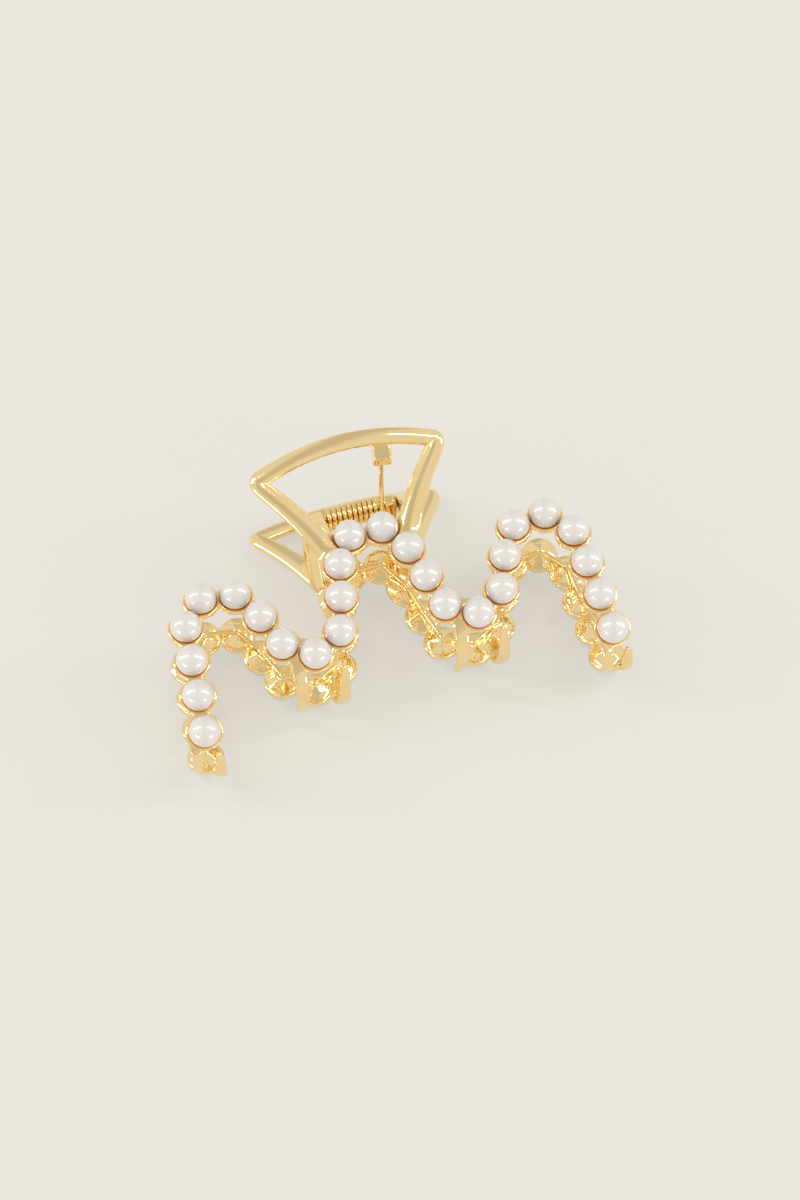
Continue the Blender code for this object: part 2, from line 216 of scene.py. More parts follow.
def bow_and_seats():
    """The circle that the front pearls' centres lie on, the centres, and each pearl's way out of its cup."""
    means = []
    for number in range(1, PEARLS_PER_JAW + 1):
        points = node_points(f"front_pearl_{number:02d}")
        means.append((points @ INTO_CLIP[:3, :3].T + INTO_CLIP[:3, 3]).mean(axis=0) / MM)
    means = np.array(means)
    y, z = means[:, 1], means[:, 2]
    # A circle through the points: y*y + z*z = 2*y*cy + 2*z*cz + rest.
    system = np.stack([2 * y, 2 * z, np.ones_like(y)], axis=1)
    centre_y, centre_z, rest = np.linalg.lstsq(system, y * y + z * z, rcond=None)[0]
    radius = math.sqrt(rest + centre_y**2 + centre_z**2) - PEARL_MEAN_HEIGHT
    outward = means - np.array([0, centre_y, centre_z])
    outward[:, 0] = 0
    outward /= np.linalg.norm(outward, axis=1)[:, None]
    return (centre_y, centre_z, radius), means - outward * PEARL_MEAN_HEIGHT, outward


# The CAD pearl's points lie in four equal rings: its flat, two rings at these angles from its widest
# section, and its top. Their mean height is where the mean of its points lies, out from its centre.
CAD_PEARL_RING_ANGLES = (math.radians(-8), math.radians(32))
PEARL_RING_HEIGHTS = (
    -PEARL_FLAT_DEPTH,
    *(PEARL_RADIUS * math.sin(angle) for angle in CAD_PEARL_RING_ANGLES),
    PEARL_RADIUS,
)
PEARL_MEAN_HEIGHT = sum(PEARL_RING_HEIGHTS) / len(PEARL_RING_HEIGHTS)
(BOW_Y, BOW_Z, BOW_RADIUS), SEATS, OUTWARD = bow_and_seats()


def unrolled(y, z):
    """The jaw's bow laid flat: the length along the bow and the height over the pearls' centres."""
    across, up = y - BOW_Y, z - BOW_Z
    return BOW_RADIUS * np.arctan2(across, up), np.hypot(across, up) - BOW_RADIUS


SEAT_X = SEATS[:, 0]
SEAT_S = unrolled(SEATS[:, 1], SEATS[:, 2])[0]


# ---- Distance fields ----


def smooth_min(a, b, blend):
    """The smaller of two distances, with a fillet about as large as blend where they meet."""
    overlap = np.maximum(blend - np.abs(a - b), 0) / blend
    return np.minimum(a, b) - overlap * overlap * blend * 0.25


def smooth_max(a, b, blend):
    return -smooth_min(-a, -b, blend)


def segment_distance(u, v, start, end):
    """Distance from points in a plane to a straight run between two points."""
    run_u, run_v = end[0] - start[0], end[1] - start[1]
    along = ((u - start[0]) * run_u + (v - start[1]) * run_v) / (run_u**2 + run_v**2)
    along = np.clip(along, 0, 1)
    return np.hypot(u - start[0] - along * run_u, v - start[1] - along * run_v), along


def rounded_slab(flat, height, half, radius):
    """A flat outline's distance given a thickness, with rounded edges."""
    side = flat + radius
    end = np.abs(height) - half + radius
    outside = np.hypot(np.maximum(side, 0), np.maximum(end, 0))
    return np.minimum(np.maximum(side, end), 0) + outside - radius


def wave_noise(u, v, w, length, seed):
    """A smooth uneven pattern between about -1 and 1, with bumps about that long."""
    rng = np.random.default_rng(seed)
    total = 0
    for _ in range(7):
        direction = rng.normal(size=3)
        direction /= np.linalg.norm(direction)
        pace = 2 * math.pi / (length * rng.uniform(0.7, 1.5))
        phase = rng.uniform(0, 2 * math.pi)
        total = total + np.sin((u * direction[0] + v * direction[1] + w * direction[2]) * pace + phase)
    return total / 3.5


def tooth_widths(side_view):
    return VALLEY_TOOTH_WIDTHS if side_view is VALLEY_TOOTH else END_TOOTH_WIDTHS


def root_length(side_view):
    """Where a tooth's root is along the bow."""
    return unrolled(*side_view[0])[0]


def tooth_outlets():
    """For each tooth, the flat runs that its web follows from the nearest seats to its root."""
    outlets = []
    for root_x, _, side_view in TEETH:
        root_s = root_length(side_view)
        reach = np.hypot(SEAT_X - root_x, SEAT_S - root_s)
        nearest = np.argsort(reach)[: 2 if side_view is VALLEY_TOOTH else 1]
        middle = (SEAT_X[nearest].mean(), SEAT_S[nearest].mean())
        outlets.append((middle, (root_x, root_s), tooth_widths(side_view), set(nearest)))
    return outlets


OUTLETS = tooth_outlets()


def plate_outline(x, s, seat):
    """The flat outline of rims, webs and tooth roots near one seat."""
    last = len(SEATS) - 1
    near = range(max(seat - 2, 0), min(seat + 2, last) + 1)
    flat = np.hypot(x - SEAT_X[seat], s - SEAT_S[seat]) - RIM_RADIUS
    for other in near:
        if other != seat:
            flat = np.minimum(flat, np.hypot(x - SEAT_X[other], s - SEAT_S[other]) - RIM_RADIUS)
    webs = None
    for first in range(near[0], near[-1]):
        ends = ((SEAT_X[first], SEAT_S[first]), (SEAT_X[first + 1], SEAT_S[first + 1]))
        web = segment_distance(x, s, *ends)[0] - WEB_HALF_WIDTH
        webs = web if webs is None else np.minimum(webs, web)
    flat = smooth_min(flat, webs, WEB_FILLET)
    for start, end, widths, owners in OUTLETS:
        if owners & set(near):
            away, along = segment_distance(x, s, start, end)
            flat = smooth_min(flat, away - widths[0] - (widths[1] - widths[0]) * along, OUTLET_FILLET)
    return flat


def seat_shape(seat):
    """One cup with its rim, its cone and its share of the webs and rails, without its pocket."""
    rng = np.random.default_rng(100 + seat)
    facet_angle = 2 * math.pi / rng.integers(7, 10)
    facet_phase = rng.uniform(0, 2 * math.pi)
    neighbours = [other for other in (seat - 1, seat + 1) if 0 <= other < len(SEATS)]

    def distance(x, y, z):
        s, height = unrolled(y, z)
        flat = plate_outline(x, s, seat)
        plate = rounded_slab(flat, height - PLATE_MIDDLE, PLATE_HALF, PLATE_ROUND)

        across, along = x - SEAT_X[seat], s - SEAT_S[seat]
        radius = np.hypot(across, along)
        depth = CONE_TOP - height
        share = np.clip(depth / (CONE_TIP_DEPTH + CONE_TOP), 0, 1.1)
        wall = CONE_RADIUS * (1 - share) + CONE_BULGE * np.sin(math.pi * np.minimum(share, 1))
        # Facets like those that hammering leaves: the round section drawn in towards a polygon.
        turn = np.mod(np.arctan2(along, across) + facet_phase, facet_angle) - facet_angle / 2
        facets = 1 + (np.cos(turn) / math.cos(facet_angle / 2) - 1) * np.clip(depth * FACET_ONSET, 0, 1)
        cone = (radius * facets - wall) * CONE_SCALE
        dents = wave_noise(x, s, height, DENT_LENGTH, DENT_SEED)
        cone = cone + DENT_DEPTH * dents * np.clip(depth, 0, 1)
        cone = np.maximum(cone, height - PLATE_MIDDLE)
        solid = smooth_min(plate, cone, CONE_FILLET)

        for other in neighbours:
            ends = ((SEAT_X[seat], SEAT_S[seat]), (SEAT_X[other], SEAT_S[other]))
            line = segment_distance(x, s, *ends)[0] - RAIL_HALF_WIDTH
            middle, half = (RAIL_TOP - RAIL_DEPTH) / 2, (RAIL_TOP + RAIL_DEPTH) / 2
            rail = rounded_slab(line, height - middle, half, RAIL_ROUND)
            solid = smooth_min(solid, rail, RAIL_FILLET)
        return solid

    return distance


def pocket_shape(seat):
    """The room for one pearl: a ball with a flat floor and a mouth that widens outwards."""

    def distance(x, y, z):
        s, height = unrolled(y, z)
        radius = np.hypot(x - SEAT_X[seat], s - SEAT_S[seat])
        ball = np.hypot(radius, height) - POCKET_RADIUS
        wall = POCKET_MOUTH_RADIUS - POCKET_MOUTH_TAPER * (PLATE_TOP - height)
        mouth = (radius - wall) * POCKET_MOUTH_SCALE
        return np.maximum(np.minimum(ball, mouth), -POCKET_FLOOR_DEPTH - height)

    return distance


def bezier(start, bend, end, steps):
    """Points on the curve from start to end that leans towards bend."""
    share = np.linspace(0, 1, steps + 1)[:, None]
    start, bend, end = np.array(start), np.array(bend), np.array(end)
    return start * (1 - share) ** 2 + bend * 2 * share * (1 - share) + end * share**2


def tooth_line(side_view):
    """The tooth's middle line in y and z: along the plate, round a tight bend, then down to the tip."""
    root_s = root_length(side_view)
    reach = BOW_RADIUS + PLATE_MIDDLE
    plate = []
    for back in TOOTH_LEAD_IN:
        angle = (root_s + back) / BOW_RADIUS
        plate.append([BOW_Y + reach * math.sin(angle), BOW_Z + reach * math.cos(angle)])
    share = np.linspace(0, 1, 15)[:, None]
    weights = ((1 - share) ** 3, 3 * share * (1 - share) ** 2, 3 * share**2 * (1 - share), share**3)
    down = sum(weight * np.array(corner) for weight, corner in zip(weights, side_view))
    return np.array(plate + list(down))


def tooth_shape(root_x, tip_x, side_view):
    """One tooth: a rounded strip along its middle line, which narrows to a blunt tip."""
    line = tooth_line(side_view)
    # The line is smoothed so that its bend is a curve, not a corner.
    for _ in range(2):
        line[1:-1] = (line[:-2] + 2 * line[1:-1] + line[2:]) / 4
    steps = np.linalg.norm(np.diff(line, axis=0), axis=1)
    travelled = np.concatenate([[0], np.cumsum(steps)])
    total = travelled[-1]
    _, root_width, tip_width = tooth_widths(side_view)

    def distance(x, y, z):
        best = None
        for index in range(len(line) - 1):
            away, along = segment_distance(y, z, line[index], line[index + 1])
            place = travelled[index] + along * steps[index]
            if best is None:
                best, where = away, place
            else:
                closer = away < best
                best = np.where(closer, away, best)
                where = np.where(closer, place, where)
        share = where / total
        half_width = tip_width + (root_width - tip_width) * (1 - share**TOOTH_TAPER_POWER)
        in_end = np.clip((share - TOOTH_END_START) / (1 - TOOTH_END_START), 0, 1)
        half_width = half_width * (1 - TOOTH_END_NARROWING * in_end**2)
        half_thick = TOOTH_TIP_HALF_THICK + TOOTH_ROOT_EXTRA_THICK * (1 - share)
        middle_x = root_x + (tip_x - root_x) * share
        side = np.abs(x - middle_x) - half_width
        return rounded_slab(side, best, half_thick, TOOTH_ROUND)

    return distance


def smooth_path(corners, rounds):
    """A path that follows the given points, rounded by cutting each corner at a quarter, round by round."""
    path = np.array(corners, float)
    for _ in range(rounds):
        quarter = path[:-1] * 0.75 + path[1:] * 0.25
        three = path[:-1] * 0.25 + path[1:] * 0.75
        inner = np.stack([quarter, three], axis=1).reshape(-1, 3)
        path = np.concatenate([path[:1], inner[1:-1], path[-1:]])
    return path


def handle_path():
    """The right half of the handle loop, from the leg's foot to the middle of the bar."""
    leg = bezier(*LEG_POINTS, 4)
    corner, middle = np.array(HANDLE_CORNER), np.array(BAR_MIDDLE)
    sideways = corner * np.array([1, 0, 0])
    bow = (middle - corner) * np.array([0, 1, 1])
    bar = [middle + sideways * share - bow * share**2 for share in BAR_PLACES]
    return smooth_path([*leg, corner, *bar], 2)


def sweep_shape(path, widths, thicknesses, facing):
    """A half-round bar along a path in space, mirrored in x: facing is the thickness way at each point."""
    runs = np.diff(path, axis=0)
    lengths = np.linalg.norm(runs, axis=1)

    def distance(x, y, z):
        x = np.abs(x)
        best = None
        for index in range(len(runs)):
            start, run, length = path[index], runs[index], lengths[index]
            along = ((x - start[0]) * run[0] + (y - start[1]) * run[1] + (z - start[2]) * run[2]) / length**2
            # The first run reaches back past the path's start, into the plate.
            along = np.clip(along, -0.5 if index == 0 else 0, 1)
            off = [p - start[axis] - along * run[axis] for axis, p in enumerate((x, y, z))]
            away = off[0] ** 2 + off[1] ** 2 + off[2] ** 2
            if best is None:
                best, where = away, index + along
                offset = off
            else:
                closer = away < best
                best = np.where(closer, away, best)
                where = np.where(closer, index + along, where)
                offset = [np.where(closer, new, old) for new, old in zip(off, offset)]
        index = np.clip(where.astype(int), 0, len(runs) - 1)
        share = where - index
        up = [facing[index, axis] * (1 - share) + facing[index + 1, axis] * share for axis in range(3)]
        rise = sum(part * lift for part, lift in zip(offset, up))
        sideways = np.sqrt(np.maximum(best - rise * rise, 0))
        width = widths[index] * (1 - share) + widths[index + 1] * share
        thick = thicknesses[index] * (1 - share) + thicknesses[index + 1] * share
        # A full round top and a flatter underside.
        grown = np.where(rise > 0, rise, rise * HANDLE_FLATTENING)
        ratio = np.hypot(sideways / (width / 2), grown / (thick / 2))
        return (ratio - 1) * np.minimum(width, thick) / 2

    return distance


def handle_shape():
    """The handle loop: both legs and the bar, from the broad feet to the narrower bar."""
    path = handle_path()
    corner_index = int(np.argmin(np.linalg.norm(path - np.array(HANDLE_CORNER), axis=1)))
    widths, thicknesses, facing = [], [], []
    runs = np.gradient(path, axis=0)
    for index in range(len(path)):
        share = np.clip(index / corner_index, 0, 1)
        widths.append(FOOT_SIZE[0] + (BAR_SIZE[0] - FOOT_SIZE[0]) * share)
        thicknesses.append(FOOT_SIZE[1] + (BAR_SIZE[1] - FOOT_SIZE[1]) * share)
        run = Vector(runs[index]).normalized()
        side = run.cross(HANDLE_OUTWARD).normalized()
        facing.append(side.cross(run).normalized())
    return sweep_shape(path, np.array(widths), np.array(thicknesses), np.array(facing))


def ear_shape(x_range, base):
    """A flat ear round the pin, tapering out to its base on the jaw."""
    base = np.array(base)
    foot = base.mean(axis=0)
    run = base[1] - base[0]
    foot_radius = np.linalg.norm(run) / 2
    beyond = np.array([-run[1], run[0]]) / np.linalg.norm(run)
    beyond *= np.sign(foot @ beyond)
    middle_x = sum(x_range) / 2
    half = (x_range[1] - x_range[0]) / 2

    def distance(x, y, z):
        reach, along = segment_distance(y, z, (0, 0), foot)
        flat = reach - EYE_RADIUS - (foot_radius - EYE_RADIUS) * along
        past_base = (y - foot[0]) * beyond[0] + (z - foot[1]) * beyond[1]
        return rounded_slab(np.maximum(flat, past_base + EAR_UNDER_LEG), x - middle_x, half, EAR_ROUND)

    return distance


def lug_shape():
    """The rounded block inside the handle that holds the spring's leg."""
    half = np.array(LUG_SIZE) / 2

    def distance(x, y, z):
        u, v, w = x - LUG_CENTRE[0], y - LUG_CENTRE[1], z - LUG_CENTRE[2]
        cosine, sine = math.cos(LUG_TURN), math.sin(LUG_TURN)
        across, along = u * cosine + v * sine, v * cosine - u * sine
        sides = [np.abs(place) - reach + LUG_ROUND for place, reach in zip((across, along, w), half)]
        outside = np.sqrt(sum(np.maximum(side, 0) ** 2 for side in sides))
        inside = np.minimum(np.maximum(np.maximum(sides[0], sides[1]), sides[2]), 0)
        return outside + inside - LUG_ROUND

    return distance


def rod_shape(start, end, radius):
    """A round rod with flat ends, which cuts the bores and the hole for the spring's leg."""
    start, end = np.array(start, float), np.array(end, float)
    length = np.linalg.norm(end - start)
    run = (end - start) / length

    def distance(x, y, z):
        offset = [place - origin for place, origin in zip((x, y, z), start)]
        along = sum(part * way for part, way in zip(offset, run))
        away = np.sqrt(sum((part - along * way) ** 2 for part, way in zip(offset, run)))
        return np.maximum(away - radius, np.abs(along - length / 2) - length / 2)

    return distance


def coil_end_angle():
    """Where on the coil the front leg leaves it, so that the leg runs on as its tangent."""
    lean = math.asin(COIL_RADIUS / math.hypot(LEG_TIP[1], LEG_TIP[2]))
    return math.atan2(LEG_TIP[2], LEG_TIP[1]) - lean + math.pi / 2


def seat_boxes(depth, half_size):
    """For each seat, the box in which its shape is worked out."""
    middles = SEATS - OUTWARD * depth
    return zip(middles - half_size, middles + half_size)


def metal_shapes():
    """The shapes joined into the casting: (low corner, high corner, distance, fillet, whether it is cut)."""
    shapes = []
    for seat, (low, high) in enumerate(seat_boxes(SEAT_BOX_DEPTH, SEAT_BOX)):
        shapes.append((low, high, seat_shape(seat), 0, False))
    for root_x, tip_x, side_view in TEETH:
        line = tooth_line(side_view)
        low = np.array([min(root_x, tip_x), *line.min(axis=0)]) - TOOTH_MARGINS
        high = np.array([max(root_x, tip_x), *line.max(axis=0)]) + TOOTH_MARGINS
        shapes.append((low, high, tooth_shape(root_x, tip_x, side_view), TOOTH_FILLET, False))
    path = handle_path()
    high = path.max(axis=0) + HANDLE_MARGIN
    low = path.min(axis=0) - HANDLE_MARGIN
    low[0] = -high[0]
    shapes.append((low, high, handle_shape(), HANDLE_FILLET, False))
    for x_range, base in ((INNER_EAR_X, INNER_EAR_BASE), (OUTER_EAR_X, OUTER_EAR_BASE)):
        low = np.array([x_range[0] - 1, *EAR_BOX_LOW])
        high = np.array([x_range[1] + 1, *EAR_BOX_HIGH])
        shapes.append((low, high, ear_shape(x_range, base), EAR_FILLET, False))
    centre, reach = np.array(LUG_CENTRE), np.array(LUG_SIZE) / 2 + 1.0
    shapes.append((centre - reach, centre + reach, lug_shape(), LUG_FILLET, False))
    return shapes


def cut_shapes():
    """The shapes cut from the casting: the pearls' pockets, the pin's bores and the leg's hole."""
    shapes = []
    for seat, (low, high) in enumerate(seat_boxes(POCKET_BOX_DEPTH, POCKET_BOX)):
        shapes.append((low, high, pocket_shape(seat), POCKET_FILLET, True))
    for ear_low, ear_high in (INNER_EAR_X, OUTER_EAR_X):
        low_x, high_x = ear_low - 1, ear_high + 1
        bore = rod_shape((low_x, 0, 0), (high_x, 0, 0), BORE_RADIUS)
        low = np.array([low_x, -BORE_BOX_HALF, -BORE_BOX_HALF])
        high = np.array([high_x, BORE_BOX_HALF, BORE_BOX_HALF])
        shapes.append((low, high, bore, BORE_FILLET, True))
    angle = coil_end_angle()
    start = np.array([COIL_END_X, COIL_RADIUS * math.cos(angle), COIL_RADIUS * math.sin(angle)])
    tip = np.array(LEG_TIP)
    run = (tip - start) / np.linalg.norm(tip - start)
    hole_ends = (tip - run * LEG_HOLE_LENGTH, tip + run * LEG_HOLE_PAST_TIP)
    hole = rod_shape(*hole_ends, LEG_HOLE_RADIUS)
    low = np.minimum(*hole_ends) - LEG_HOLE_MARGIN
    high = np.maximum(*hole_ends) + LEG_HOLE_MARGIN
    shapes.append((low, high, hole, LEG_HOLE_FILLET, True))
    return shapes


def joined(field, value, fillet, is_cut):
    """The field with one more shape joined to it or cut from it."""
    if is_cut:
        return smooth_max(field, -value, fillet)
    if fillet == 0:
        return np.minimum(field, value)
    return smooth_min(field, value, fillet)


def field_on_grid(shapes, axes):
    """The casting's field at every grid point, or FAR where no shape is near."""
    field = np.full([len(axis) for axis in axes], FAR, np.float32)
    for low, high, distance, fillet, is_cut in shapes:
        spans = []
        for axis, start, end in zip(axes, low, high):
            spans.append(slice(np.searchsorted(axis, start), np.searchsorted(axis, end)))
        x = axes[0][spans[0]][:, None, None]
        y = axes[1][spans[1]][None, :, None]
        z = axes[2][spans[2]][None, None, :]
        window = tuple(spans)
        field[window] = joined(field[window], distance(x, y, z), fillet, is_cut)
    return field


def field_at(shapes, points):
    """The casting's field at single points."""
    field = np.full(len(points), FAR)
    for low, high, distance, fillet, is_cut in shapes:
        near = np.all((points >= low) & (points < high), axis=1)
        if near.any():
            x, y, z = points[near].T
            field[near] = joined(field[near], distance(x, y, z), fillet, is_cut)
    return field


def surface_of(field, axes):
    """A quad mesh of the field's zero surface: one point in each grid cell that the surface crosses."""
    inside = field < 0
    shape = np.array(inside.shape) - 1
    count = np.zeros(shape, np.uint8)
    corners = [(i, j, k) for i in (0, 1) for j in (0, 1) for k in (0, 1)]
    for i, j, k in corners:
        count += inside[i : i + shape[0], j : j + shape[1], k : k + shape[2]]
    cells = np.argwhere((count > 0) & (count < 8))
    index_of = np.full(shape, -1, np.int32)
    index_of[tuple(cells.T)] = np.arange(len(cells))

    values = np.stack([field[tuple((cells + corner).T)] for corner in corners], axis=1)
    total = np.zeros((len(cells), 3))
    crossings = np.zeros(len(cells))
    for first in range(8):
        for second in range(first + 1, 8):
            step = np.array(corners[second]) - np.array(corners[first])
            if np.abs(step).sum() != 1:
                continue
            a, b = values[:, first], values[:, second]
            crosses = (a < 0) != (b < 0)
            share = np.where(crosses, a / np.where(crosses, a - b, 1), 0)
            total += (np.array(corners[first]) + share[:, None] * step) * crosses[:, None]
            crossings += crosses
    origin = np.array([axis[0] for axis in axes])
    points = origin + (cells + total / crossings[:, None]) * GRID_STEP

    faces = []
    for axis in range(3):
        ahead = np.zeros(3, int)
        ahead[axis] = 1
        others = [other for other in range(3) if other != axis]
        low = inside[: shape[0], : shape[1], : shape[2]]
        high = inside[tuple(slice(start, start + size) for start, size in zip(ahead, shape))]
        edges = np.argwhere(low != high)
        edges = edges[np.all(edges[:, others] > 0, axis=1)]
        goes_out = low[tuple(edges.T)]
        quad = []
        for back_one, back_two in ((0, 0), (1, 0), (1, 1), (0, 1)):
            cell = edges.copy()
            cell[:, others[0]] -= back_one
            cell[:, others[1]] -= back_two
            quad.append(index_of[tuple(cell.T)])
        quad = np.stack(quad, axis=1)
        turned = goes_out if axis != 1 else ~goes_out
        quad[~turned] = quad[~turned][:, ::-1]
        faces.append(quad)
    return points, np.concatenate(faces)


def settled(shapes, points, rounds):
    """Each point moved onto the exact surface, along the field's steepest way, and that way there."""
    step = GRID_STEP * 0.25
    for _ in range(rounds):
        here = field_at(shapes, points)
        slope = np.empty_like(points)
        for axis in range(3):
            moved = points.copy()
            moved[:, axis] += step
            slope[:, axis] = (field_at(shapes, moved) - here) / step
        size = np.maximum((slope**2).sum(axis=1), 0.3)
        shift = -(here / size)[:, None] * slope
        length = np.linalg.norm(shift, axis=1)
        shift *= np.minimum(1, step / np.maximum(length, 1e-9))[:, None]
        points = points + shift
    return points, slope / np.maximum(np.linalg.norm(slope, axis=1), 1e-9)[:, None]


def mesh_of(points, faces, name):
    """A smooth-shaded mesh in metres from points in millimetres in the clip frame."""
    mesh = bpy.data.meshes.new(name)
    points = np.asarray(points, float) * MM
    if isinstance(faces, np.ndarray):
        count, sides = faces.shape
        mesh.vertices.add(len(points))
        mesh.vertices.foreach_set("co", np.asarray(points, np.float32).ravel())
        mesh.loops.add(count * sides)
        mesh.loops.foreach_set("vertex_index", faces.astype(np.int32).ravel())
        mesh.polygons.add(count)
        mesh.polygons.foreach_set("loop_start", np.arange(0, count * sides, sides, dtype=np.int32))
        mesh.update(calc_edges=True)
        mesh.validate()
    else:
        mesh.from_pydata([tuple(point) for point in points], [], faces)
    mesh.shade_smooth()
    return mesh


def casting_mesh():
    """The whole jaw casting in the clip frame."""
    shapes = metal_shapes() + cut_shapes()
    low = np.min([shape[0] for shape in shapes], axis=0)
    high = np.max([shape[1] for shape in shapes], axis=0)
    axes = [np.arange(start, end + GRID_STEP, GRID_STEP) for start, end in zip(low, high)]
    points, faces = surface_of(field_on_grid(shapes, axes), axes)
    points, normals = settled(shapes, points, SETTLING_ROUNDS)
    mesh = mesh_of(points, faces, "casting")
    # The field's own normals keep the highlights on the small fillets even.
    mesh.normals_split_custom_set_from_vertices(normals)
    return mesh


# ---- Turned and swept pieces ----

PEARL_RINGS = 26
PEARL_SIDES = 48
# The pearl's flat stops at this share of its width, and the last stretch is an eased edge.
PEARL_FLAT_SHARE = 0.9
PIN_SIDES = 32
WIRE_SIDES = 14
WIRE_END_NARROWING = 0.8
WIRE_STEPS = 300
# The places along the spring's straight leg, as shares of its length, closer together at its ends.
LEG_PLACES = (0.02, 0.06, 0.12, 0.3, 0.5, 0.7, 0.9, 0.97, 1.0)


def turned(outline, sides, name):
    """A mesh of revolution about +Z, from (radius, height) pairs that start and end on the axis."""
    points = [(0, 0, outline[0][1])]
    for radius, height in outline[1:-1]:
        for side in range(sides):
            angle = 2 * math.pi * side / sides
            points.append((radius * math.cos(angle), radius * math.sin(angle), height))
    points.append((0, 0, outline[-1][1]))
    rings = len(outline) - 2
    faces = []
    for side in range(sides):
        ahead = (side + 1) % sides
        faces.append((0, 1 + ahead, 1 + side))
        for ring in range(rings - 1):
            a, b = 1 + ring * sides + side, 1 + ring * sides + ahead
            faces.append((a, b, b + sides, a + sides))
        top = 1 + (rings - 1) * sides
        faces.append((top + side, top + ahead, len(points) - 1))
    return mesh_of(points, faces, name)


def pearl_mesh():
    """A flat-backed pearl on its centre: a ball cut off flat where it is glued into its cup."""
    flat_angle = -math.asin(PEARL_FLAT_DEPTH / PEARL_RADIUS)
    flat_radius = PEARL_RADIUS * math.cos(flat_angle)
    outline = [(0, -PEARL_FLAT_DEPTH), (flat_radius * PEARL_FLAT_SHARE, -PEARL_FLAT_DEPTH)]
    for step in range(PEARL_RINGS):
        angle = flat_angle + (math.pi / 2 - flat_angle) * step / PEARL_RINGS
        outline.append((PEARL_RADIUS * math.cos(angle), PEARL_RADIUS * math.sin(angle)))
    outline.append((0, PEARL_RADIUS))
    return turned(outline, PEARL_SIDES, "pearl")


def pin_mesh():
    """The pin with its two peened heads, turned along the clip's x axis."""
    end = PIN_HALF_LENGTH + PIN_HEAD_LENGTH
    head = [
        (0, -end),
        (0.5, -end),
        (0.9, -end + 0.08),
        (PIN_HEAD_RADIUS - 0.08, -end + 0.24),
        (PIN_HEAD_RADIUS, -end + 0.4),
        (PIN_HEAD_RADIUS - 0.02, -PIN_HALF_LENGTH - 0.03),
        (PIN_HEAD_RADIUS - 0.08, -PIN_HALF_LENGTH),
        (PIN_RADIUS + 0.03, -PIN_HALF_LENGTH),
        (PIN_RADIUS, -PIN_HALF_LENGTH + 0.05),
    ]
    outline = head + [(radius, -height) for radius, height in head[::-1]]
    mesh = turned(outline, PIN_SIDES, "pin")
    mesh.transform(Matrix.Rotation(math.pi / 2, 4, "Y"))
    mesh.set_sharp_from_angle(angle=math.radians(50))
    return mesh


def wire_path():
    """The spring wire's middle line: back leg, coil, front leg."""
    half_turn = math.pi - coil_end_angle() + 2 * math.pi * COIL_WHOLE_TURNS_EACH_SIDE
    front = []
    for step in range(WIRE_STEPS + 1):
        part = step / WIRE_STEPS
        angle = math.pi - half_turn * part
        front.append((COIL_END_X * part, COIL_RADIUS * math.cos(angle), COIL_RADIUS * math.sin(angle)))
    start, tip = np.array(front[-1]), np.array(LEG_TIP)
    front += [tuple(start + (tip - start) * part) for part in LEG_PLACES]
    back = [(-x, y, -z) for x, y, z in front[:0:-1]]
    return np.array(back + front)


def wire_mesh():
    """The spring's round wire along its path, a little narrower at its two cut ends."""
    path = wire_path()
    runs = np.gradient(path, axis=0)
    runs /= np.linalg.norm(runs, axis=1)[:, None]
    outer = path * np.array([0, 1, 1])
    side = np.cross(runs, outer)
    side /= np.linalg.norm(side, axis=1)[:, None]
    up = np.cross(side, runs)
    angles = 2 * np.pi * np.arange(WIRE_SIDES) / WIRE_SIDES
    radii = np.full(len(path), WIRE_RADIUS)
    radii[[0, -1]] *= WIRE_END_NARROWING
    spokes = side[:, None] * np.cos(angles)[None, :, None] + up[:, None] * np.sin(angles)[None, :, None]
    points = (path[:, None] + spokes * radii[:, None, None]).reshape(-1, 3)
    count = len(points)
    faces = [tuple(range(WIRE_SIDES)), tuple(range(count - 1, count - WIRE_SIDES - 1, -1))]
    for ring in range(len(path) - 1):
        for step in range(WIRE_SIDES):
            a = ring * WIRE_SIDES + step
            b = ring * WIRE_SIDES + (step + 1) % WIRE_SIDES
            faces.append((a, a + WIRE_SIDES, b + WIRE_SIDES, b))
    return mesh_of(points, faces, "wire")


# ---- Materials ----

# Each pair is the two linear colours that a material drifts between.
CASTING_GOLD = ((0.98, 0.78, 0.42), (0.965, 0.745, 0.365))
CASTING_POLISH = (0.045, 0.085)
STEEL_GOLD = ((0.97, 0.74, 0.35), (0.94, 0.69, 0.30))
STEEL_POLISH = (0.05, 0.10)
LACQUER = ((0.745, 0.712, 0.68), (0.76, 0.733, 0.705))
LACQUER_POLISH = (0.30, 0.34)
# Painted reflection: the orange of the gold cup, and of the light bounced in the gap round the pearl,
# painted into the pearl's colour near its flat.
PAINTED_CUP_REFLECTION = (1.0, 0.55, 0.18, 1)
# Heights on a pearl, in millimetres from its centre, where the painted orange reflection of the gold cup
# starts and where it is full.
PAINTED_REFLECTION_START = -0.25
PAINTED_REFLECTION_FULL = -0.75
PAPER = ((0.32, 0.315, 0.295), (0.33, 0.325, 0.305))


def node(tree, kind, **values):
    """A new shader node, with each value set on the input or the property of that name."""
    made = tree.nodes.new(kind)
    for name, value in values.items():
        if name in made.inputs:
            made.inputs[name].default_value = value
        else:
            setattr(made, name, value)
    return made


def noise(tree, coordinates, scale, detail):
    """An even noise pattern with about this many waves in a metre."""
    made = node(tree, "ShaderNodeTexNoise", Scale=scale, Detail=detail)
    tree.links.new(coordinates, made.inputs["Vector"])
    return made.outputs["Fac"]


def spread(tree, value, low, high):
    """Maps a noise value onto a range."""
    made = node(tree, "ShaderNodeMapRange")
    made.inputs["From Min"].default_value = 0.3
    made.inputs["From Max"].default_value = 0.7
    made.inputs["To Min"].default_value = low
    made.inputs["To Max"].default_value = high
    tree.links.new(value, made.inputs["Value"])
    return made.outputs["Result"]


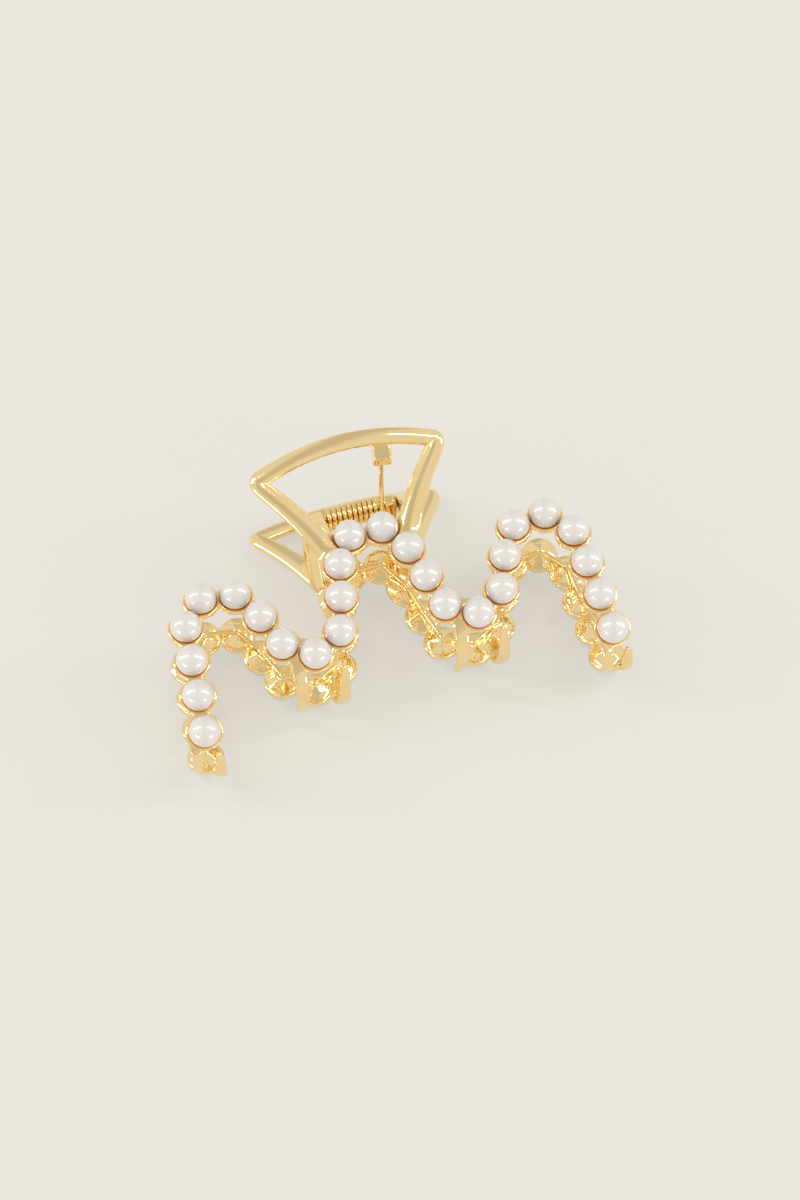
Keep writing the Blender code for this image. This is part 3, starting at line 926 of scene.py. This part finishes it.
def colour_between(tree, value, first, second):
    ramp = node(tree, "ShaderNodeValToRGB")
    ramp.color_ramp.elements[0].position = 0.3
    ramp.color_ramp.elements[1].position = 0.7
    ramp.color_ramp.elements[0].color = (*first, 1)
    ramp.color_ramp.elements[1].color = (*second, 1)
    tree.links.new(value, ramp.inputs["Fac"])
    return ramp.outputs["Color"]


def bump(tree, height, distance, strength):
    """The normal of a surface raised by the given height value, by at most the distance in metres."""
    made = node(tree, "ShaderNodeBump", Distance=distance, Strength=strength)
    tree.links.new(height, made.inputs["Height"])
    return made.outputs["Normal"]


def new_material(name):
    made = bpy.data.materials.new(name)
    made.use_nodes = True
    tree = made.node_tree
    shader = tree.nodes["Principled BSDF"]
    coordinates = node(tree, "ShaderNodeTexCoord").outputs["Object"]
    return made, tree, shader, coordinates


def gold(name, colours, polish_range, ripple):
    """Gold plating: clean colour with faint drift, a polish that varies and a slight cast ripple."""
    made, tree, shader, coordinates = new_material(name)
    shader.inputs["Metallic"].default_value = 1
    drift = noise(tree, coordinates, 160, 2)
    light, dark = colours
    tree.links.new(colour_between(tree, drift, dark, light), shader.inputs["Base Color"])
    polish = noise(tree, coordinates, 900, 3)
    tree.links.new(spread(tree, polish, *polish_range), shader.inputs["Roughness"])
    uneven = noise(tree, coordinates, 700, 2)
    tree.links.new(bump(tree, uneven, 0.12 * MM, ripple), shader.inputs["Normal"])
    return made


def nacre():
    """Pearl lacquer: a warm white body under a clear glossy coat, with a painted orange reflection of the
    gold cup in its colour near its flat.
    """
    made, tree, shader, coordinates = new_material("pearl_nacre")
    drift = noise(tree, coordinates, 160, 1)
    body = colour_between(tree, drift, *LACQUER)
    height = node(tree, "ShaderNodeSeparateXYZ")
    tree.links.new(coordinates, height.inputs[0])
    # Painted reflection: the base colour turns orange towards the flat, by height, standing in for the gold
    # cup's reflection and the light bounced in the gap.
    painted_reflection_share = node(tree, "ShaderNodeMapRange", interpolation_type="SMOOTHSTEP")
    painted_reflection_share.inputs["From Min"].default_value = PAINTED_REFLECTION_START * MM
    painted_reflection_share.inputs["From Max"].default_value = PAINTED_REFLECTION_FULL * MM
    tree.links.new(height.outputs["Z"], painted_reflection_share.inputs["Value"])
    with_painted_reflection = node(tree, "ShaderNodeMix", data_type="RGBA")
    tree.links.new(painted_reflection_share.outputs["Result"], with_painted_reflection.inputs[0])
    tree.links.new(body, with_painted_reflection.inputs[6])
    with_painted_reflection.inputs[7].default_value = PAINTED_CUP_REFLECTION
    tree.links.new(with_painted_reflection.outputs[2], shader.inputs["Base Color"])
    polish = noise(tree, coordinates, 300, 1)
    tree.links.new(spread(tree, polish, *LACQUER_POLISH), shader.inputs["Roughness"])
    shader.inputs["Metallic"].default_value = 0.12
    shader.inputs["Coat Weight"].default_value = 1.0
    shader.inputs["Coat Roughness"].default_value = 0.025
    shader.inputs["Coat IOR"].default_value = 1.6
    shader.inputs["Sheen Weight"].default_value = 0.15
    shader.inputs["Sheen Roughness"].default_value = 0.4
    shader.inputs["Sheen Tint"].default_value = (1.0, 0.86, 0.8, 1)
    uneven = noise(tree, coordinates, 420, 1)
    tree.links.new(bump(tree, uneven, 0.02 * MM, 0.05), shader.inputs["Normal"])
    return made


def paper():
    """The studio floor: matt paper that glows slightly, which keeps the shadows light."""
    made, tree, shader, coordinates = new_material("studio_floor")
    drift = noise(tree, coordinates, 6, 2)
    tree.links.new(colour_between(tree, drift, *PAPER), shader.inputs["Base Color"])
    shader.inputs["Roughness"].default_value = 0.8
    shader.inputs["Specular IOR Level"].default_value = 0.2
    shader.inputs["Emission Color"].default_value = (1.0, 0.97, 0.90, 1)
    shader.inputs["Emission Strength"].default_value = 0.47
    return made


# ---- Pieces ----


def piece(name, mesh, finish):
    """An object in the scene. Pieces that share a mesh share its finish."""
    made = bpy.data.objects.new(name, mesh)
    bpy.context.scene.collection.objects.link(made)
    if not mesh.materials:
        mesh.materials.append(finish)
    return made


END_FOR_END = Matrix.Rotation(math.pi, 4, "Y")
JAWS = {"front": CLIP, "back": CLIP @ END_FOR_END}
# Each pearl is turned this many radians on from the last, so that no two show the same pattern.
PEARL_SPIN = 2.4


def make_jaws():
    mesh = casting_mesh()
    finish = gold("gilt_casting", CASTING_GOLD, CASTING_POLISH, 0.12)
    for body, place in JAWS.items():
        placed = mesh.copy()
        placed.transform(place)
        jaw = piece(f"{body}_jaw_casting", placed, finish)
        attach(jaw, body)
        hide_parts(f"{body}_jaw")


def make_pearls():
    mesh = pearl_mesh()
    finish = nacre()
    for body, place in JAWS.items():
        for number, (centre, outward) in enumerate(zip(SEATS, OUTWARD), start=1):
            turn = Vector(outward).to_track_quat("Z", "Y").to_matrix().to_4x4()
            spin = Matrix.Rotation(number * PEARL_SPIN, 4, "Z")
            pearl = piece(f"{body}_pearl_{number:02d}_ball", mesh, finish)
            pearl.matrix_world = place @ Matrix.Translation(Vector(centre) * MM) @ turn @ spin
            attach(pearl, body)
            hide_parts(f"{body}_pearl_{number:02d}")


def make_steel():
    finish = gold("gilt_steel", STEEL_GOLD, STEEL_POLISH, 0.15)
    pin = piece("hinge_pin_peened", pin_mesh(), finish)
    pin.data.transform(CLIP)
    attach(pin, "back")
    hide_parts("hinge_pin")
    wire = piece("torsion_spring_wire", wire_mesh(), finish)
    wire.data.transform(CLIP)
    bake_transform(wire)
    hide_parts("torsion_spring")


# ---- Studio ----

CAMERA_AZIMUTH = math.radians(15.97)
CAMERA_HEIGHT = math.radians(61.29)
CAMERA_DISTANCE = 0.700
AIM_FROM_HINGE = Vector((0.0034, -0.020831, 0.000264))
LOOK_AT = CLIP.translation + AIM_FROM_HINGE
FILM_HEIGHT = 36.0
LENS = 110.9

# Directions are (right, up, backward) as the camera sees them. The left lights mirror the right ones.
STRIP_DIRECTION = (0.78, 0.35, 0.51)
STRIP_RUN = (-0.6, 0.4, 0.8)
STRIP_SIZE = (1.5, 0.12)
STRIP_POWER = 4.4
LOW_STRIP_DIRECTION = (0.72, -0.55, 0.42)
LOW_STRIP_RUN = (0.43, 0.36, -0.25)
LOW_STRIP_SIZE = (0.5, 0.12)
LOW_STRIP_POWER = 1.6
STRIP_DISTANCE = 1.2
# The room's colour, from straight on to the sides: (position, colour).
ROOM_MIDDLE = (0.09, (0.60, 0.58, 0.545, 1))
ROOM_SIDES = (0.34, (0.81, 0.795, 0.765, 1))
FLOOR_HALF = 3.0


def view_axes():
    """The camera's right, up and backward directions."""
    backward = Vector(
        (
            -math.cos(CAMERA_HEIGHT) * math.sin(CAMERA_AZIMUTH),
            -math.cos(CAMERA_HEIGHT) * math.cos(CAMERA_AZIMUTH),
            math.sin(CAMERA_HEIGHT),
        )
    )
    right = Vector((math.cos(CAMERA_AZIMUTH), -math.sin(CAMERA_AZIMUTH), 0))
    return right, backward.cross(right), backward


def make_camera():
    data = bpy.data.cameras.new("camera")
    data.sensor_fit = "VERTICAL"
    data.sensor_height = FILM_HEIGHT
    data.lens = LENS
    data.clip_start = 0.01
    data.clip_end = 10
    camera = bpy.data.objects.new("camera", data)
    bpy.context.scene.collection.objects.link(camera)
    right, up, backward = view_axes()
    turn = Matrix((right, up, backward)).transposed().to_4x4()
    camera.matrix_world = Matrix.Translation(LOOK_AT + backward * CAMERA_DISTANCE) @ turn
    bpy.context.scene.camera = camera


def softbox(name, direction, along, size, power):
    """A long soft light in that direction from the clip, its long side turned along the given way."""
    data = bpy.data.lights.new(name, "AREA")
    data.shape = "RECTANGLE"
    data.size, data.size_y = size
    data.energy = power
    light = bpy.data.objects.new(name, data)
    bpy.context.scene.collection.objects.link(light)
    backward = Vector(direction).normalized()
    side = Vector(along)
    side = (side - backward * side.dot(backward)).normalized()
    turn = Matrix((side, backward.cross(side), backward)).transposed().to_4x4()
    light.matrix_world = Matrix.Translation(LOOK_AT + backward * STRIP_DISTANCE) @ turn


def seen(side, direction):
    """A direction as the camera sees it, or mirrored left for side -1, in the row frame."""
    right, up, back = view_axes()
    across, over, towards = direction
    return right * (side * across) + up * over + back * towards


def make_lights():
    for side, name in ((-1, "left"), (1, "right")):
        strip = seen(side, STRIP_DIRECTION), seen(side, STRIP_RUN)
        softbox(f"{name}_strip", *strip, STRIP_SIZE, STRIP_POWER)
        low_strip = seen(side, LOW_STRIP_DIRECTION), seen(side, LOW_STRIP_RUN)
        softbox(f"{name}_low_strip", *low_strip, LOW_STRIP_SIZE, LOW_STRIP_POWER)


def make_room():
    """The world: brighter to the left and right than above, with no horizon."""
    right = view_axes()[0]
    world = bpy.data.worlds.new("studio")
    world.use_nodes = True
    tree = world.node_tree
    shade = tree.nodes["Background"]
    way = node(tree, "ShaderNodeTexCoord").outputs["Generated"]
    sideways = node(tree, "ShaderNodeVectorMath", operation="DOT_PRODUCT")
    tree.links.new(way, sideways.inputs[0])
    sideways.inputs[1].default_value = right
    amount = node(tree, "ShaderNodeMath", operation="ABSOLUTE")
    tree.links.new(sideways.outputs["Value"], amount.inputs[0])
    walls = node(tree, "ShaderNodeValToRGB")
    walls.color_ramp.interpolation = "EASE"
    for element, (position, colour) in zip(walls.color_ramp.elements, (ROOM_MIDDLE, ROOM_SIDES)):
        element.position = position
        element.color = colour
    tree.links.new(amount.outputs["Value"], walls.inputs["Fac"])
    tree.links.new(walls.outputs["Color"], shade.inputs["Color"])
    bpy.context.scene.world = world


def make_floor():
    mesh = bpy.data.meshes.new("floor")
    corners = [(x * FLOOR_HALF, y * FLOOR_HALF, 0) for x, y in ((-1, -1), (1, -1), (1, 1), (-1, 1))]
    mesh.from_pydata(corners, [], [(0, 1, 2, 3)])
    floor = piece("floor", mesh, paper())


make_camera()
make_floor()
make_jaws()
make_pearls()
make_steel()
make_lights()
make_room()
bpy.context.scene.view_settings.view_transform = "Standard"
